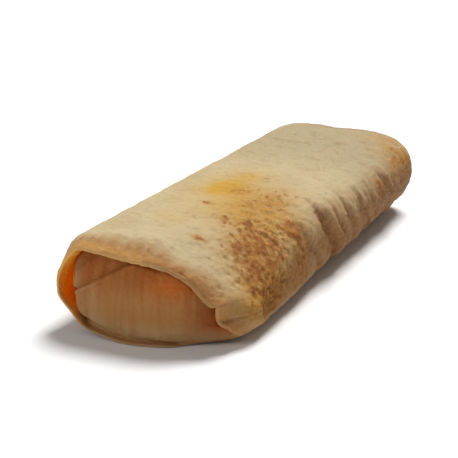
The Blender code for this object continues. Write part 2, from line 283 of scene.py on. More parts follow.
@dataclass(frozen=True)
class Roll:
    """The pressed roll of bread between its two tucked ends."""

    pleats: Pleats = Pleats()
    length: float = 0.2125
    left_half: float = 0.0392
    right_half: float = 0.0378
    height: float = 0.0397
    sheet: float = 0.0014
    upper_exponent: float = 4.8
    lower_exponent: float = 3.0
    base_sink: float = 0.0011
    right_crown: float = 0.0030
    far_crown: float = 0.0015
    near_wider: float = 0.0010
    near: Fade = Fade(0.050, -0.050)
    far_wider: float = 0.0016
    far: Fade = Fade(0.085, 0.070)
    foot_out: float = 0.0022
    foot_out_along: Bell = Bell(0.058, 0.028)
    far_foot_in: float = 0.0046
    foot_side: Fade = Fade(0.0, 0.7)
    foot_height: Fade = Fade(0.024, -0.024)
    fall_along: Fade = Fade(0.086, -0.080)
    fall_power: float = 1.5
    fall_from_side: float = 0.08
    fall_slope: float = 0.66
    fall_softness: float = 0.10
    lumps: tuple[tuple[float, float, float], ...] = ((0.0004, 62.0, 2.1), (0.0003, 118.0, -4.0))
    lump_side: Fade = Fade(-0.85, 0.5)
    pleat_lift: float = 0.35
    pleat_lift_rise: Fade = Fade(0.2, 0.6)
    seam_x: float = 0.0165
    seam_step: float = 0.0009
    seam_width: float = 0.0012
    seam_height: Fade = Fade(0.004, -0.003)
    samples: int = 8001
    columns: int = 328
    base_density: Fade = Fade(-0.99, 0.12, 0.35)
    body_start: float = 0.036
    start_steps: int = 20
    lean_starts: Fade = Fade(0.045, 0.040)
    lean_stops: float = 0.022
    fine_step: float = 0.00092
    coarse_step: float = 0.00118
    coarse_from: float = 0.112

    def outline(self) -> tuple[np.ndarray, np.ndarray]:
        """Side and rise of the outline, from the middle of the base round by the right."""
        turn = np.linspace(-0.5 * np.pi, 1.5 * np.pi, self.samples)
        side, rise = np.cos(turn), np.sin(turn)
        power = np.where(rise > 0.0, self.upper_exponent, self.lower_exponent)
        radius = (np.abs(side) ** power + np.abs(rise) ** power) ** (-1.0 / power)
        side, rise = side * radius, rise * radius
        steps = np.hypot(np.diff(side) * (self.left_half + self.right_half), np.diff(rise) * self.height)
        travelled = np.concatenate([[0.0], np.cumsum(steps * self.base_density.at(rise[1:]))])
        even = np.linspace(0.0, travelled[-1], self.columns, endpoint=False)
        return np.interp(even, travelled, side), np.interp(even, travelled, rise)

    def filling_lumps(self, side: np.ndarray, along: np.ndarray) -> np.ndarray:
        """Gentle swells of the top, which fade out before the straight left edge."""
        swell = sum(height * np.sin(along * waves + side * slant) for height, waves, slant in self.lumps)
        return swell * self.lump_side.at(side)

    def points(self, side: np.ndarray, rise: np.ndarray, along: np.ndarray) -> np.ndarray:
        """Points on the outside of the roll.

        Args:
            side: Place across the outline, -1 to 1.
            rise: Place up the outline, -1 to 1.
            along: Distance from the tip of the open end.

        Returns:
            One point for each place, as rows.
        """
        farther = self.far.at(along)
        wider = self.far_wider * farther + self.near_wider * self.near.at(along)
        x = side * np.where(side > 0.0, self.right_half + wider, self.left_half)
        z = (self.height + self.base_sink) * 0.5 * (1.0 + rise) - self.base_sink
        foot = self.foot_out * self.foot_out_along.at(along) - self.far_foot_in * farther
        x = x + foot * self.foot_side.at(side) * self.foot_height.at(z)
        crown = (self.right_crown + self.far_crown * farther) * np.maximum(side, 0.0) ** 2
        z = z + (self.filling_lumps(side, along) - crown) * ease(z / self.height)
        fall = self.fall_slope * self.fall_along.at(along) ** self.fall_power
        rightward = side - self.fall_from_side
        rightward = 0.5 * (rightward + np.sqrt(rightward ** 2 + self.fall_softness ** 2))
        z = z * (1.0 - fall * rightward)
        outward = self.pleats.relief(side, rise, along)
        x = x + outward
        z = z + self.pleat_lift * outward * self.pleat_lift_rise.at(rise)
        under = (rise < 0.0) * self.seam_height.at(z)
        seam = self.seam_step * ease((x - self.seam_x) / self.seam_width) * under
        return np.stack([x, along, np.maximum(z, seam)], axis=1)

    def body_rings(self, outline: tuple[np.ndarray, np.ndarray], start: np.ndarray, end: float) -> Rings:
        """Rings along the body, which lean with the pleats where the flank has them.

        Args:
            outline: Side and rise of the outline.
            start: The ring where the body begins.
            end: How far along the far end begins.

        Returns:
            The rings after the start, up to just before the end.
        """
        side, rise = outline
        lean = self.pleats.leaning(side, rise)
        first = start[:, 1]
        rings = []
        for amount in np.arange(1, self.start_steps) / self.start_steps:
            rings.append((Zone.BODY, self.points(side, rise, first + (self.body_start - first) * amount)))
        station = self.body_start
        while station < end - 0.5 * self.coarse_step:
            leaning = self.lean_starts.at(station) * ease((end - station) / self.lean_stops)
            rings.append((Zone.BODY, self.points(side, rise, station - lean * leaning)))
            station += self.coarse_step if station > self.coarse_from else self.fine_step
        return rings


@dataclass(frozen=True)
class OpenEnd:
    """The near end: a lip of bread round a groove, with a tucked flap that fills the mouth."""

    roll: Roll
    mouth: tuple[float, float] = (0.0, 0.0140)
    lip_points: tuple[tuple[float, ...], ...] = (
        (-98.0, -0.0050, 0.0003, 0.0000),
        (-66.0, 0.0063, 0.0034, 0.0000),
        (-41.0, 0.0160, 0.0090, 0.0002),
        (-26.0, 0.0275, 0.0165, 0.0008),
        (-18.0, 0.0336, 0.0195, 0.0030),
        (-14.0, 0.0334, 0.0155, 0.0054),
        (-10.0, 0.0328, 0.0126, 0.0084),
        (-7.0, 0.0316, 0.0114, 0.0106),
        (-4.0, 0.0294, 0.0106, 0.0118),
        (-1.0, 0.0286, 0.0099, 0.0136),
        (4.0, 0.0288, 0.0090, 0.0168),
        (8.5, 0.0293, 0.0082, 0.0196),
        (13.0, 0.0266, 0.0072, 0.0204),
        (20.0, 0.0242, 0.0064, 0.0224),
        (29.0, 0.0216, 0.0056, 0.0256),
        (38.0, 0.0186, 0.0046, 0.0290),
        (50.0, 0.0146, 0.0034, 0.0316),
        (65.0, 0.0094, 0.0022, 0.0336),
        (89.0, 0.0003, 0.0015, 0.0347),
        (105.0, -0.0062, 0.0013, 0.0350),
        (128.0, -0.0178, 0.0013, 0.0360),
        (139.0, -0.0262, 0.0015, 0.0363),
        (142.5, -0.0288, 0.0016, 0.0358),
        (146.0, -0.0308, 0.0018, 0.0342),
        (155.0, -0.0350, 0.0024, 0.0296),
        (163.0, -0.0378, 0.0027, 0.0252),
        (170.5, -0.0395, 0.0028, 0.0205),
        (180.5, -0.0388, 0.0026, 0.0135),
        (189.5, -0.0338, 0.0022, 0.0084),
        (203.0, -0.0264, 0.0010, 0.0028),
        (220.0, -0.0160, 0.0002, 0.0008),
    )
    flap_points: tuple[tuple[float, ...], ...] = (
        (-98.0, -0.0050, 0.0019),
        (-66.0, 0.0063, 0.0019),
        (-41.0, 0.0154, 0.0014),
        (-26.0, 0.0263, 0.0022),
        (-18.0, 0.0318, 0.0042),
        (-14.0, 0.0318, 0.0062),
        (-10.0, 0.0310, 0.0086),
        (-7.0, 0.0294, 0.0102),
        (-4.0, 0.0274, 0.0112),
        (-1.0, 0.0266, 0.0132),
        (4.0, 0.0262, 0.0160),
        (8.5, 0.0260, 0.0180),
        (13.0, 0.0244, 0.0186),
        (20.0, 0.0214, 0.0202),
        (29.0, 0.0186, 0.0232),
        (38.0, 0.0156, 0.0262),
        (50.0, 0.0124, 0.0284),
        (65.0, 0.0080, 0.0300),
        (89.0, 0.0000, 0.0310),
        (105.0, -0.0064, 0.0316),
        (128.0, -0.0179, 0.0332),
        (139.0, -0.0260, 0.0341),
        (142.5, -0.0282, 0.0338),
        (146.0, -0.0296, 0.0328),
        (155.0, -0.0333, 0.0286),
        (158.0, -0.0340, 0.0270),
        (163.0, -0.0341, 0.0238),
        (170.5, -0.0342, 0.0194),
        (173.0, -0.0340, 0.0176),
        (175.0, -0.0318, 0.0168),
        (180.5, -0.0316, 0.0132),
        (186.0, -0.0313, 0.0102),
        (189.5, -0.0302, 0.0082),
        (195.0, -0.0279, 0.0066),
        (203.0, -0.0236, 0.0047),
        (220.0, -0.0156, 0.0026),
    )
    groove_depth: Pairs = (
        (-180, 0.0120), (-170, 0.0085), (-158, 0.0030), (-110, 0.0027), (-65, 0.0028), (-48, 0.0018),
        (-40, 0.0), (-15, 0.0), (-11, 0.0012), (-7, 0.0045), (-3, 0.0070), (12, 0.0085), (35, 0.0085),
        (90, 0.0080), (140, 0.0105),
    )
    curl_in: Pairs = (
        (-180, 0.0030), (-140, 0.0), (-50, 0.0), (-15, 0.0020), (15, 0.0080), (90, 0.0090), (150, 0.0060),
    )
    curl_length: Pairs = ((-180, 0.009), (-90, 0.010), (-20, 0.016), (30, 0.017), (90, 0.013), (150, 0.012))
    curl_forward: float = 0.006
    turn_at: float = 0.018
    lip_roundness: float = 1.6
    lip_thickness: Fade = Fade(0.0, 0.005, 0.2)
    normal_reach: int = 4
    joined: Fade = Fade(0.004, -0.004)
    joined_scale: Fade = Fade(0.70, 0.29)
    flap_front: float = 0.0022
    flap_crest_x: float = -0.003
    flap_left_back: float = 0.0016
    flap_right_back: float = 0.0215
    flap_right_power: float = 2.2
    flap_top_back: float = 0.0045
    flap_base_back: float = 0.0012
    flap_flat_from: float = 0.009
    flap_flat_to: float = 0.013
    flap_rounding: float = 0.0016
    flap_rim: float = 0.0020
    flap_rim_power: float = 1.5
    flap_edge_left: tuple[float, float] = (-0.0345, 0.0150)
    flap_edge_right: tuple[float, float] = (-0.0090, 0.0303)
    flap_bead: Bell = Bell(-0.0009, 0.0009)
    flap_bead_height: float = 0.0007
    edge_draw: float = 0.8
    edge_draw_from: float = 0.5
    edge_draw_reach: float = 0.0018
    side_fold: Fade = Fade(-0.00014, 0.0004)
    side_fold_depth: float = 0.0018
    flap_steps: int = 36
    rounding_steps: int = 7
    wall_steps: int = 5
    lip_steps: int = 5
    curl_steps: int = 24
    seam: Fade = Fade(0.0020, -0.0020)
    seam_rows: tuple[int, int] = (12, 16)
    seam_passes: int = 240
    seam_window: float = 0.5
    seam_level: float = 0.5
    seam_around: float = 0.2

    def angles(self, ring: np.ndarray) -> np.ndarray:
        """Angle of each point about the middle of the mouth: 0 is right, 90 up and 180 left."""
        return np.degrees(np.arctan2(ring[:, 2] - self.mouth[1], ring[:, 0] - self.mouth[0]))

    @property
    def flap_edge(self) -> np.ndarray:
        """Direction of the flap's slanted edge, as X and Z."""
        run = np.array(self.flap_edge_right) - np.array(self.flap_edge_left)
        return run / np.linalg.norm(run)

    def above_edge(self, x: np.ndarray, z: np.ndarray) -> np.ndarray:
        """Distance above the slanted edge of the flap, measured square to it."""
        edge, left = self.flap_edge, self.flap_edge_left
        return (z - left[1]) * edge[0] - (x - left[0]) * edge[1]

    def flap_face(self, x: np.ndarray, z: np.ndarray) -> np.ndarray:
        """Distance from the tip of the flap's face, or of the side fold above its slanted edge."""
        leftward = np.maximum(self.flap_crest_x - x, 0.0) / self.roll.left_half
        rightward = np.maximum(x - self.flap_crest_x, 0.0) / self.roll.right_half
        upward = np.maximum(z - self.flap_flat_to, 0.0) / (self.roll.height * 0.5)
        downward = np.maximum(self.flap_flat_from - z, 0.0) / self.flap_flat_from
        face = self.flap_front + self.flap_left_back * leftward ** 2
        face = face + self.flap_right_back * rightward ** self.flap_right_power
        face = face + self.flap_top_back * upward ** 2 + self.flap_base_back * downward ** 2
        above = self.above_edge(x, z)
        bead = self.flap_bead_height * self.flap_bead.at(above)
        return face - bead + self.side_fold_depth * self.side_fold.at(above)

    def flap_rings(self, foot: np.ndarray, depth: np.ndarray) -> Rings:
        """Rings over the flap, from its middle out to its foot in the groove.

        Where the groove runs out, at the lower right, the flap and the lip are one surface.

        Args:
            foot: The ring at the foot of the flap.
            depth: How deep the groove is at each point.

        Returns:
            The rings, the first one drawn together in a point.
        """
        middle, edge = np.array(self.mouth), self.flap_edge
        flat = foot[:, [0, 2]]
        reach = np.linalg.norm(flat - middle, axis=1)
        joined = self.joined.at(depth)
        forward = joined * (foot[:, 1] - self.flap_face(flat[:, 0], flat[:, 1]))
        rim, steps = self.flap_rim, self.rounding_steps
        insets = [rim * (step / steps) ** self.flap_rim_power for step in range(steps)]
        insets += [rim + (reach - rim) * step / self.flap_steps for step in range(self.flap_steps + 1)]
        rings = []
        for inset in reversed(insets):
            scale = 1.0 - inset / reach
            x = middle[0] + scale * (flat[:, 0] - middle[0])
            z = middle[1] + scale * (flat[:, 1] - middle[1])
            above = self.above_edge(x, z)
            drawn = -self.edge_draw * above * bump(above, self.edge_draw_reach)
            drawn = drawn * ease(inset / rim - self.edge_draw_from)
            x, z = x - edge[1] * drawn, z + edge[0] * drawn
            turned = np.clip(1.0 - inset / self.flap_rounding, 0.0, 1.0)
            rounding = self.flap_rounding * (1.0 - np.sqrt(1.0 - turned ** 2)) * (1.0 - joined)
            face = self.flap_face(x, z) + rounding + forward * self.joined_scale.at(scale)
            rings.append((Zone.FLAP, np.stack([x, np.minimum(face, foot[:, 1]), z], axis=1)))
        return rings

    def lip_rings(self, start: np.ndarray, lip: np.ndarray, inner: np.ndarray, turn: np.ndarray) -> Rings:
        """Rings round the lip's edge and back along its outside.

        Args:
            start: The ring where the body begins.
            lip: The ring along the outside of the lip's edge.
            inner: The ring along the inside of the lip's edge.
            turn: The angle of each point.

        Returns:
            The rings, up to the start of the body.
        """
        rings = []
        rounded = np.linalg.norm(inner - lip, axis=1)[:, None] * self.lip_roundness
        pull = BACK * by_angle(self.curl_length, turn)[:, None]
        inward = inward_normals(lip, self.normal_reach)
        curl = inward * by_angle(self.curl_in, turn)[:, None] - BACK * self.curl_forward
        roll_in = curl / np.linalg.norm(curl, axis=1)[:, None] * rounded
        for step in range(self.lip_steps + 1):
            ring = curve_between(inner, lip, -BACK * rounded, -roll_in, step / self.lip_steps)
            rings.append((Zone.LIP, ring))
        for step in range(1, self.curl_steps):
            ring = curve_between(start, lip, -pull, curl, 1.0 - step / self.curl_steps)
            ring[:, 2] = np.maximum(ring[:, 2], 0.0)
            rings.append((Zone.CURL, ring))
        return rings + [(Zone.CURL, start)]

    def rings(self, outline: tuple[np.ndarray, np.ndarray]) -> Rings:
        """Rings from the middle of the open end, round its lip, to the start of the body."""
        side, rise = outline
        turn = self.angles(self.roll.points(side, rise, np.full(side.shape, self.turn_at)))
        lip = loop_at(self.lip_points, turn)
        lip[:, 2] = np.maximum(lip[:, 2], 0.0)
        start = self.roll.points(side, rise, lip[:, 1] + by_angle(self.curl_length, turn))
        depth = by_angle(self.groove_depth, turn)[:, None]
        inner = lip + inward_normals(lip, self.normal_reach) * self.roll.sheet * self.lip_thickness.at(depth)
        wall_end = inner + BACK * depth
        foot = np.insert(loop_at(self.flap_points, turn), 1, wall_end[:, 1], axis=1)
        rings = self.flap_rings(foot, depth[:, 0])
        rings += [(Zone.GROOVE, foot), (Zone.GROOVE, (foot + wall_end) * 0.5)]
        for step in range(self.wall_steps):
            rings.append((Zone.GROOVE, wall_end + (inner - wall_end) * step / self.wall_steps))
        rings += self.lip_rings(start, lip, inner, turn)
        return self.joined_rings(rings, self.seam.at(depth[:, 0]))

    def joined_rings(self, rings: Rings, joined: np.ndarray) -> Rings:
        """Smooths the skin from flap to body where no groove parts them.

        Args:
            rings: The rings of the open end.
            joined: For each column, 1 where flap and lip are one surface and 0 where a groove parts them.

        Returns:
            The rings, with their zones as before.
        """
        zones = [zone for zone, _ in rings]
        points = np.stack([ring for _, ring in rings])
        first = zones.index(Zone.GROOVE) - self.rounding_steps - self.seam_rows[0]
        last = zones.index(Zone.CURL) + self.seam_rows[1]
        window = np.sin(np.linspace(0.0, math.pi, last - first + 1)) ** self.seam_window
        weight = (window[:, None] * joined[None, :])[1:-1, :, None]
        for _ in range(self.seam_passes):
            block = points[first:last + 1]
            middle = block[1:-1]
            around = (np.roll(middle, 1, axis=1) + np.roll(middle, -1, axis=1)) * 0.5 - middle
            level = (block[2:] + block[:-2]) * 0.5 - middle
            points[first + 1:last] = middle + weight * (self.seam_level * level + self.seam_around * around)
        return list(zip(zones, points))


@dataclass(frozen=True)
class FarEnd:
    """The far end, tucked in the same way but shut tighter."""

    roll: Roll
    rounding: float = 0.0120
    narrowing: float = 0.30
    lowering: float = 0.24
    middle_height: float = 0.0183
    normal_reach: int = 5
    lip_forward: float = 0.4
    groove_depth: float = 0.0042
    groove_width: float = 0.0014
    flap_back: float = 0.0022
    flap_curve: float = 0.0030
    flap_scale: float = 0.985
    fold_slope: float = 0.35
    fold_step: float = 0.0018
    fold_width: float = 0.0016
    turn_steps: int = 16
    flap_steps: int = 22

    @property
    def edge(self) -> float:
        """How far along the rounding of the far edge begins."""
        return self.roll.length - self.rounding

    def rings(self, outline: tuple[np.ndarray, np.ndarray]) -> Rings:
        """Rings that round the far edge, turn in over its lip and close its tucked flap."""
        side, rise = outline
        base = self.roll.points(side, rise, np.full(side.shape, self.edge))
        rings = []
        for turn in np.linspace(0.0, 0.5 * math.pi, self.turn_steps):
            ring = base.copy()
            ring[:, 0] *= 1.0 - self.narrowing * (1.0 - math.cos(turn))
            towards = self.lowering * (1.0 - math.cos(turn)) ** 2
            ring[:, 2] += (self.middle_height - ring[:, 2]) * towards
            ring[:, 1] = self.edge + self.rounding * math.sin(turn)
            rings.append((Zone.FAR_EDGE, ring))
        lip = rings[-1][1]
        inward = inward_normals(lip, self.normal_reach)
        inner = lip + (inward - BACK * self.lip_forward) * self.roll.sheet
        wall_end = inner - BACK * self.groove_depth
        foot = wall_end + inward * self.groove_width
        rings += [(Zone.GROOVE, ring) for ring in (inner, (inner + wall_end) * 0.5, wall_end, foot)]
        for scale in np.linspace(self.flap_scale, 0.0, self.flap_steps):
            x = scale * foot[:, 0]
            z = self.middle_height + scale * (foot[:, 2] - self.middle_height)
            above_fold = z - self.middle_height - self.fold_slope * x
            face = self.roll.length - self.flap_back - self.flap_curve * scale ** 4
            face = face - self.fold_step * ease(above_fold / self.fold_width)
            rings.append((Zone.FAR_FLAP, np.stack([x, np.maximum(face, foot[:, 1]), z], axis=1)))
        return rings


@dataclass
class Skin:
    """The bread's surface as rows of points, each row one ring."""

    points: np.ndarray
    zones: list[Zone]
    side: np.ndarray
    rise: np.ndarray
    around: np.ndarray
    open_end: OpenEnd

    @classmethod
    def lofted(cls, roll: Roll, section_at: float = 0.10) -> "Skin":
        """Lays out all the rings of the wrap and measures the way round it on one plain section."""
        outline = roll.outline()
        open_end, far_end = OpenEnd(roll), FarEnd(roll)
        near = open_end.rings(outline)
        body = roll.body_rings(outline, near[-1][1], far_end.edge)
        rings = near + body + far_end.rings(outline)
        section = roll.points(*outline, np.full(outline[0].shape, section_at))
        steps = np.linalg.norm(np.diff(section, axis=0), axis=1)
        travelled = np.concatenate([[0.0], np.cumsum(steps)])
        around = travelled[np.argmax(outline[1])] - travelled
        points = np.stack([ring for _, ring in rings])
        return cls(points, [zone for zone, _ in rings], *outline, around, open_end)

    def rows(self, *zones: Zone) -> np.ndarray:
        """Column of 1 for each ring in one of the zones and 0 for the others."""
        return np.array([float(zone in zones) for zone in self.zones])[:, None]

    def normals(self) -> np.ndarray:
        """Outward direction at each point, found from its neighbours."""
        around = np.roll(self.points, -1, axis=1) - np.roll(self.points, 1, axis=1)
        onward = np.gradient(self.points, axis=0)
        normals = np.cross(around, onward)
        lengths = np.linalg.norm(normals, axis=2)[..., None]
        return -normals / np.maximum(lengths, NO_LENGTH)

    @property
    def x(self) -> np.ndarray:
        """Each point's place to the right."""
        return self.points[:, :, 0]

    @property
    def along(self) -> np.ndarray:
        """Distance of each point from the tip of the open end."""
        return self.points[:, :, 1]

    @property
    def z(self) -> np.ndarray:
        """Each point's height above the floor."""
        return self.points[:, :, 2]

    @property
    def inward(self) -> np.ndarray:
        """How far each point is behind the lip's edge."""
        return self.along - self.points[self.zones.index(Zone.CURL), :, 1]

    @property
    def above(self) -> np.ndarray:
        """How far each point is above the flap's slanted edge."""
        return self.open_end.above_edge(self.x, self.z)

    @property
    def across(self) -> np.ndarray:
        """Way round the skin to each point of each ring."""
        return np.broadcast_to(self.around, self.points.shape[:2])

    @property
    def flat(self) -> np.ndarray:
        """Each point's way round the skin and distance along it, as coordinates for noise."""
        return np.stack([self.across, self.along, np.zeros_like(self.along)], axis=2)

    @property
    def face(self) -> np.ndarray:
        """Each point as it is seen along the roll, as coordinates for noise."""
        return self.points * np.array([1.0, 0.0, 1.0])


@dataclass(frozen=True)
class Patch:
    """A soft oval on the skin, by its place and half sizes across and along."""

    across: float
    along: float
    half_across: float
    half_along: float
    strength: float = 1.0
    turn: float = 0.0

    def weight(self, across: np.ndarray, along: np.ndarray) -> np.ndarray:
        """How strongly each place is inside the oval, from 0 to its strength."""
        turn = math.radians(self.turn)
        right, far = across - self.across, along - self.along
        first = (right * math.cos(turn) + far * math.sin(turn)) / self.half_across
        second = (far * math.cos(turn) - right * math.sin(turn)) / self.half_along
        return self.strength * np.exp(-(first ** 2 + second ** 2))


@dataclass(frozen=True)
class Toasting:
    """Where the hot plate and the filling have coloured the bread, and where shade is painted on it.

    A dash is a short crease across the far part of the top, dark with painted shade.
    """

    warm: tuple[Patch, ...] = (
        Patch(0.026, 0.046, 0.014, 0.018, 1.0, 20.0),
        Patch(0.019, 0.074, 0.012, 0.018, 0.9),
        Patch(0.008, 0.064, 0.010, 0.012, 0.45),
        Patch(0.002, 0.087, 0.009, 0.011, 0.5),
        Patch(0.038, 0.190, 0.010, 0.012, 0.5),
        Patch(0.040, 0.029, 0.010, 0.013, 1.0),
        Patch(0.052, 0.038, 0.010, 0.024, 0.9),
        Patch(0.052, 0.067, 0.008, 0.008, 0.9),
        Patch(0.036, 0.067, 0.008, 0.007, 0.9),
        Patch(0.009, 0.030, 0.003, 0.003, 0.5),
        Patch(-0.004, 0.063, 0.003, 0.003, 0.4),
        Patch(0.052, 0.096, 0.012, 0.014, 0.55),
        Patch(0.056, 0.130, 0.010, 0.030, 0.45),
        Patch(-0.056, 0.070, 0.010, 0.024, 0.55),
        Patch(-0.052, 0.150, 0.010, 0.026, 0.40),
        Patch(0.091, 0.070, 0.010, 0.032, 0.8),
        Patch(-0.090, 0.130, 0.010, 0.034, 0.8),
    )
    brown: tuple[Patch, ...] = (
        Patch(0.024, 0.040, 0.007, 0.009, 1.0),
        Patch(0.034, 0.044, 0.006, 0.009, 1.0),
        Patch(0.028, 0.052, 0.011, 0.009, 0.7),
        Patch(0.033, 0.031, 0.008, 0.007, 0.6),
        Patch(0.044, 0.030, 0.010, 0.012, 0.60),
        Patch(0.053, 0.040, 0.009, 0.014, 0.50),
        Patch(0.017, 0.074, 0.009, 0.010, 0.5),
        Patch(0.019, 0.088, 0.006, 0.008, 0.4),
        Patch(0.000, 0.086, 0.006, 0.006, 0.65),
        Patch(0.0335, 0.0655, 0.0042, 0.0042, 1.3),
        Patch(0.0385, 0.0680, 0.0040, 0.0040, 1.3),
        Patch(0.050, 0.068, 0.006, 0.006, 0.5),
        Patch(0.0095, 0.030, 0.0030, 0.0022, 1.0),
        Patch(-0.0038, 0.063, 0.0026, 0.0026, 0.9),
        Patch(0.0096, 0.052, 0.0034, 0.0034, 0.8),
        Patch(0.0180, 0.054, 0.0034, 0.0034, 0.8),
        Patch(0.004, 0.106, 0.003, 0.004, 0.5),
        Patch(0.039, 0.188, 0.010, 0.014, 0.45),
        Patch(0.044, 0.158, 0.006, 0.008, 0.40),
        Patch(-0.054, 0.066, 0.007, 0.014, 0.5),
        Patch(-0.050, 0.156, 0.006, 0.010, 0.4),
        Patch(0.091, 0.066, 0.008, 0.020, 0.6),
        Patch(-0.090, 0.134, 0.009, 0.022, 0.6),
    )
    saffron: tuple[Patch, ...] = (
        Patch(-0.0080, 0.0860, 0.0075, 0.0095, 1.0),
        Patch(-0.0090, 0.0890, 0.0120, 0.0170, 0.5),
        Patch(-0.0045, 0.1050, 0.0080, 0.0080, 0.5),
        Patch(-0.0100, 0.060, 0.0120, 0.0160, 0.12),
        Patch(0.0060, 0.078, 0.0110, 0.0150, 0.50),
        Patch(0.0060, 0.060, 0.0110, 0.0120, 0.35),
        Patch(-0.0080, 0.040, 0.0080, 0.0080, 0.22),
    )
    golden: tuple[Patch, ...] = (
        Patch(0.044, 0.158, 0.008, 0.010, 0.9),
        Patch(0.040, 0.188, 0.012, 0.012, 0.8),
        Patch(0.030, 0.199, 0.016, 0.008, 0.6),
        Patch(0.052, 0.067, 0.008, 0.008, 0.6),
        Patch(0.046, 0.027, 0.014, 0.012, 0.8),
        Patch(0.053, 0.046, 0.012, 0.020, 0.7),
    )
    char: tuple[Patch, ...] = (
        Patch(0.0065, 0.0905, 0.0007, 0.0008),
        Patch(-0.0015, 0.0465, 0.0006, 0.0007, 0.8),
        Patch(0.0210, 0.0120, 0.0008, 0.0009, 0.5),
        Patch(0.0265, 0.0150, 0.0009, 0.0009, 0.5),
    )
    # Painted shade: short dark crease lines across the far top.
    dash: tuple[Patch, ...] = (
        Patch(-0.020, 0.172, 0.0045, 0.0017, 0.8),
        Patch(-0.014, 0.158, 0.0030, 0.0014, 0.5),
        Patch(-0.004, 0.181, 0.0040, 0.0017, 0.9),
        Patch(0.003, 0.184, 0.0030, 0.0016, 0.9),
        Patch(0.010, 0.178, 0.0034, 0.0017, 0.8),
        Patch(0.018, 0.187, 0.0036, 0.0017, 0.9),
        Patch(0.024, 0.180, 0.0034, 0.0017, 0.8),
        Patch(0.028, 0.172, 0.0044, 0.0016, 0.7),
        Patch(0.032, 0.188, 0.0034, 0.0017, 0.9),
        Patch(0.022, 0.164, 0.0040, 0.0014, 0.6),
        Patch(0.030, 0.160, 0.0036, 0.0016, 0.7),
        Patch(0.016, 0.152, 0.0050, 0.0014, 0.5),
        Patch(0.004, 0.146, 0.0060, 0.0013, 0.5),
        Patch(0.034, 0.150, 0.0030, 0.0014, 0.6),
        Patch(0.026, 0.142, 0.0040, 0.0014, 0.5),
        Patch(-0.006, 0.124, 0.0050, 0.0013, 0.4),
        Patch(0.012, 0.128, 0.0060, 0.0013, 0.5),
        Patch(0.022, 0.120, 0.0040, 0.0014, 0.5),
    )
    freckles: Grain = Grain((300.0, 330.0, 1.0), 3)
    freckle_pull: float = 0.85
    freckle_level: Fade = Fade(0.50, 0.50)
    freckle_start: Fade = Fade(0.0, 0.2)
    dash_middle: float = 0.75
    dash_grain: float = 0.5
    # Painted shade: the top darker and greyer towards the far end.
    far: Fade = Fade(0.110, 0.060)

    @staticmethod
    def gathered(patches: Iterable[Patch], skin: Skin) -> np.ndarray:
        """All the patches together on the outside of the skin, held between 0 and 1."""
        weights = [patch.weight(skin.across, skin.along) for patch in patches]
        return np.clip(np.sum(weights, axis=0), 0.0, 1.0) * skin.rows(*OUTSIDE)

    def marks(self, skin: Skin) -> dict[str, np.ndarray]:
        """Masks of the toasting over the whole skin, with painted shade towards the far end and in the
        dashes.

        Args:
            skin: The bread's surface.

        Returns:
            The masks by name, each from 0 to 1 at every point.
        """
        grain = self.freckles.at(skin.flat)
        patches = {
            "warm": self.warm,
            "brown": self.brown,
            "saffron": self.saffron,
            "golden": self.golden,
            "char": self.char,
            "dash": self.dash,
        }
        marks = {name: self.gathered(kind, skin) for name, kind in patches.items()}
        marks["dash"] = marks["dash"] * (self.dash_middle + self.dash_grain * grain)
        speckled = self.freckle_level.at(grain + self.freckle_pull * marks["brown"])
        marks["freckle"] = speckled * self.freckle_start.at(marks["brown"])
        # The far mark is painted shade that darkens the top towards the far end.
        marks["far"] = self.far.at(skin.along) * skin.rows(*OUTSIDE)
        return marks


